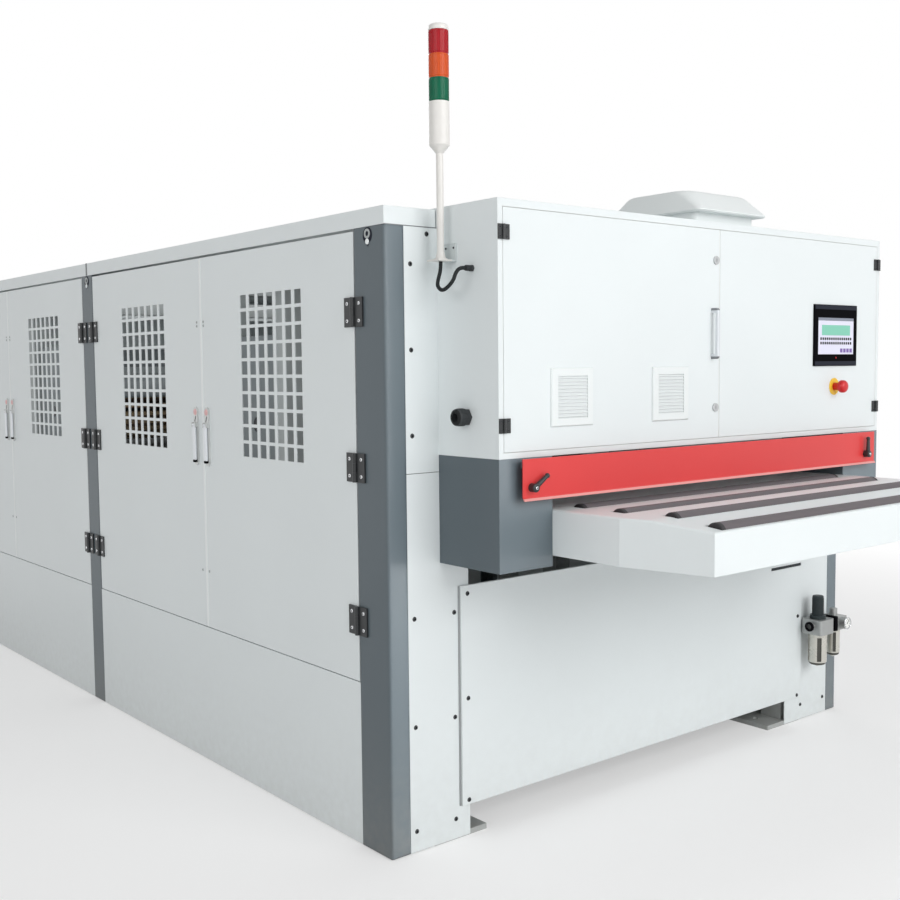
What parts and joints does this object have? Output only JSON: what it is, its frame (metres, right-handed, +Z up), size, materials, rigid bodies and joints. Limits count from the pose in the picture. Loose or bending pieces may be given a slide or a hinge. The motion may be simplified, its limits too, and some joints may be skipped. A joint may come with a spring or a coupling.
{
  "type": "brush sanding machine",
  "caption": "Through-feed brush sanding machine with control cabinet, roller infeed table, hinged side doors and lifting brush stations.",
  "frame": {"origin": "bottom centre of the whole machine, on the floor under the foot plates", "axes": "+Z up; +Y is the feed direction, from the infeed table at -Y to the outlet at +Y; +X is to the right seen from the infeed"},
  "size_m": [2.014, 4.45, 2.089],
  "materials": {
    "frame_paint": "satin powder coat, dark grey",
    "slate_paint": "satin powder coat, slate grey",
    "white_paint": "satin powder coat, off-white",
    "panel_paint": "satin powder coat, pale grey-green",
    "hinge_black": "black powder coat",
    "handle_metal": "satin anodised",
    "lock_metal": "polished plate",
    "fan_plastic": "moulded light grey",
    "black_plastic": "moulded black",
    "gear_plastic": "moulded grey devices and ducts on a plate",
    "screen_glass": "clear coated touch screen",
    "red_plastic": "moulded red",
    "red_paint": "satin powder coat, coral red",
    "white_plastic": "moulded white",
    "green_lens": "tinted lens",
    "amber_lens": "tinted lens",
    "red_lens": "tinted lens",
    "cable_jacket": "smooth black jacket",
    "roller_rubber": "ground rubber cover",
    "belt_rubber": "rough-top belt",
    "bare_steel": "machined steel",
    "bristles": "abrasive strips and fibre bristles",
    "carriage_paint": "satin enamel",
    "motor_paint": "enamelled casting",
    "unit_metal": "die-cast grey",
    "bowl_clear": "clear polycarbonate bowl"
  },
  "bodies": {
    "machine": {"base_frame": "frame_paint", "posts": "slate_paint", "front_columns": "white_paint", "lower_front_panel": "white_paint", "roof_panels": "panel_paint", "side_panels": "panel_paint", "rear_panel": "panel_paint", "side_hinges": "hinge_black", "cabinet_shell": "white_paint", "mounting_plate": "gear_plastic", "cabinet_hinges": "hinge_black", "roof_vent": "fan_plastic", "tower_pole": "handle_metal", "tower_base": "white_plastic", "tower_green_lens": "green_lens", "tower_amber_lens": "amber_lens", "tower_red_lens": "red_lens", "tower_cable": "cable_jacket", "cable_glands": "black_plastic", "infeed_blocks": "slate_paint", "infeed_table": "white_paint", "conveyor_bed": "bare_steel", "conveyor_belt": "belt_rubber", "gearmotor": "motor_paint", "lift_spindles": "bare_steel", "air_unit_body": "unit_metal", "air_unit_bowls": "bowl_clear"},
    "cabinet_left_leaf": {"cabinet_door_left": "white_paint", "cabinet_handle": "handle_metal", "filter_fans": "fan_plastic"},
    "cabinet_right_leaf": {"cabinet_door_right": "white_paint", "hmi_housing": "black_plastic", "hmi_screen": "screen_glass"},
    "lower_lock": {"cabinet_lock_lower": "lock_metal"},
    "upper_lock": {"cabinet_lock_upper": "lock_metal"},
    "emergency_stop": {"estop_button": "red_plastic"},
    "flap": {"safety_flap": "red_paint"},
    "left_clamp": {"clamp_lever_left": "black_plastic"},
    "right_clamp": {"clamp_lever_right": "black_plastic"},
    "drive_drum": {"drive_roller": "bare_steel"},
    "idler_drum": {"idler_roller": "bare_steel"},
    "knob": {"regulator_knob": "black_plastic"},
    "door_1": {"side_door_1": "panel_paint"},
    "lever_1": {"door_handle_1": "handle_metal"},
    "table_roller_1": {"infeed_roller_1": "roller_rubber"},
    "door_2": {"side_door_2": "panel_paint"},
    "lever_2": {"door_handle_2": "handle_metal"},
    "table_roller_2": {"infeed_roller_2": "roller_rubber"},
    "door_3": {"side_door_3": "panel_paint"},
    "lever_3": {"door_handle_3": "handle_metal"},
    "table_roller_3": {"infeed_roller_3": "roller_rubber"},
    "door_4": {"side_door_4": "panel_paint"},
    "lever_4": {"door_handle_4": "handle_metal"},
    "table_roller_4": {"infeed_roller_4": "roller_rubber"},
    "front_carriage": {"brush_carriage_front": "carriage_paint", "brush_motor_front": "motor_paint"},
    "front_brush": {"brush_roller_front": "bristles"},
    "rear_carriage": {"brush_carriage_rear": "carriage_paint", "brush_motor_rear": "motor_paint"},
    "rear_brush": {"brush_roller_rear": "bristles"}
  },
  "joints": [
    {"name": "cabinet_left_hinge", "type": "hinge", "parent": "machine", "child": "cabinet_left_leaf", "pos_m": [-0.819, -1.7695, 1.34], "axis": [0, 0, -1], "range_deg": [0, 110]},
    {"name": "cabinet_right_hinge", "type": "hinge", "parent": "machine", "child": "cabinet_right_leaf", "pos_m": [0.841, -1.7695, 1.34], "axis": [0, 0, 1], "range_deg": [0, 110]},
    {"name": "lower_lock_turn", "type": "hinge", "parent": "cabinet_left_leaf", "child": "lower_lock", "pos_m": [-0.007, -1.7645, 1.131], "axis": [0, 1, 0], "range_deg": [0, 90]},
    {"name": "upper_lock_turn", "type": "hinge", "parent": "cabinet_left_leaf", "child": "upper_lock", "pos_m": [-0.007, -1.7645, 1.548], "axis": [0, 1, 0], "range_deg": [0, 90]},
    {"name": "emergency_stop_push", "type": "slide", "parent": "cabinet_right_leaf", "child": "emergency_stop", "axis": [0, 1, 0], "range_m": [0, 0.006]},
    {"name": "flap_hinge", "type": "hinge", "parent": "machine", "child": "flap", "pos_m": [0, -1.777, 1.012], "axis": [-1, 0, 0], "range_deg": [0, 55]},
    {"name": "left_clamp_turn", "type": "hinge", "parent": "flap", "child": "left_clamp", "pos_m": [-0.751, -1.789, 0.9575], "axis": [0, -1, 0], "range_deg": [-60, 30]},
    {"name": "right_clamp_turn", "type": "hinge", "parent": "flap", "child": "right_clamp", "pos_m": [0.744, -1.789, 0.9575], "axis": [0, -1, 0], "range_deg": [-90, 0]},
    {"name": "table_roller_1_spin", "type": "hinge", "parent": "machine", "child": "table_roller_1", "pos_m": [0, -1.78, 0.877], "axis": [1, 0, 0], "continuous": true},
    {"name": "table_roller_2_spin", "type": "hinge", "parent": "machine", "child": "table_roller_2", "pos_m": [0, -1.916, 0.877], "axis": [1, 0, 0], "continuous": true},
    {"name": "table_roller_3_spin", "type": "hinge", "parent": "machine", "child": "table_roller_3", "pos_m": [0, -2.056, 0.878], "axis": [1, 0, 0], "continuous": true},
    {"name": "table_roller_4_spin", "type": "hinge", "parent": "machine", "child": "table_roller_4", "pos_m": [0, -2.187, 0.86696], "axis": [1, 0, 0], "continuous": true},
    {"name": "drive_drum_spin", "type": "hinge", "parent": "machine", "child": "drive_drum", "pos_m": [0, 2.108, 0.8262], "axis": [1, 0, 0], "continuous": true},
    {"name": "idler_drum_spin", "type": "hinge", "parent": "machine", "child": "idler_drum", "pos_m": [0, -1.437, 0.8262], "axis": [1, 0, 0], "continuous": true},
    {"name": "door_1_hinge", "type": "hinge", "parent": "machine", "child": "door_1", "pos_m": [-1.007, -1.401, 1], "axis": [0, 0, 1], "range_deg": [0, 110]},
    {"name": "lever_1_pivot", "type": "hinge", "parent": "door_1", "child": "lever_1", "pos_m": [-1.0102, -0.58925, 1.08], "axis": [0, 1, 0], "range_deg": [0, 60]},
    {"name": "door_2_hinge", "type": "hinge", "parent": "machine", "child": "door_2", "pos_m": [-1.007, 0.2965, 1], "axis": [0, 0, -1], "range_deg": [0, 75]},
    {"name": "lever_2_pivot", "type": "hinge", "parent": "door_2", "child": "lever_2", "pos_m": [-1.0102, -0.51525, 1.08], "axis": [0, 1, 0], "range_deg": [0, 60]},
    {"name": "door_3_hinge", "type": "hinge", "parent": "machine", "child": "door_3", "pos_m": [-1.007, 0.3965, 1], "axis": [0, 0, 1], "range_deg": [0, 75]},
    {"name": "lever_3_pivot", "type": "hinge", "parent": "door_3", "child": "lever_3", "pos_m": [-1.0102, 1.20825, 1.08], "axis": [0, 1, 0], "range_deg": [0, 60]},
    {"name": "door_4_hinge", "type": "hinge", "parent": "machine", "child": "door_4", "pos_m": [-1.007, 2.094, 1], "axis": [0, 0, -1], "range_deg": [0, 110]},
    {"name": "lever_4_pivot", "type": "hinge", "parent": "door_4", "child": "lever_4", "pos_m": [-1.0102, 1.28225, 1.08], "axis": [0, 1, 0], "range_deg": [0, 60]},
    {"name": "front_brush_lift", "type": "slide", "parent": "machine", "child": "front_carriage", "axis": [0, 0, 1], "range_m": [0, 0.04]},
    {"name": "front_brush_spin", "type": "hinge", "parent": "front_carriage", "child": "front_brush", "pos_m": [0, -0.552, 1.073], "axis": [1, 0, 0], "continuous": true},
    {"name": "rear_brush_lift", "type": "slide", "parent": "machine", "child": "rear_carriage", "axis": [0, 0, 1], "range_m": [0, 0.04]},
    {"name": "rear_brush_spin", "type": "hinge", "parent": "rear_carriage", "child": "rear_brush", "pos_m": [0, 1.258, 1.073], "axis": [1, 0, 0], "continuous": true},
    {"name": "regulator_turn", "type": "hinge", "parent": "machine", "child": "knob", "pos_m": [0.809, -1.582, 0.4], "axis": [0, 0, 1], "continuous": true}
  ],
  "couplings": [
    {"joint": "idler_drum_spin", "follows": "drive_drum_spin", "ratio": 1}
  ]
}
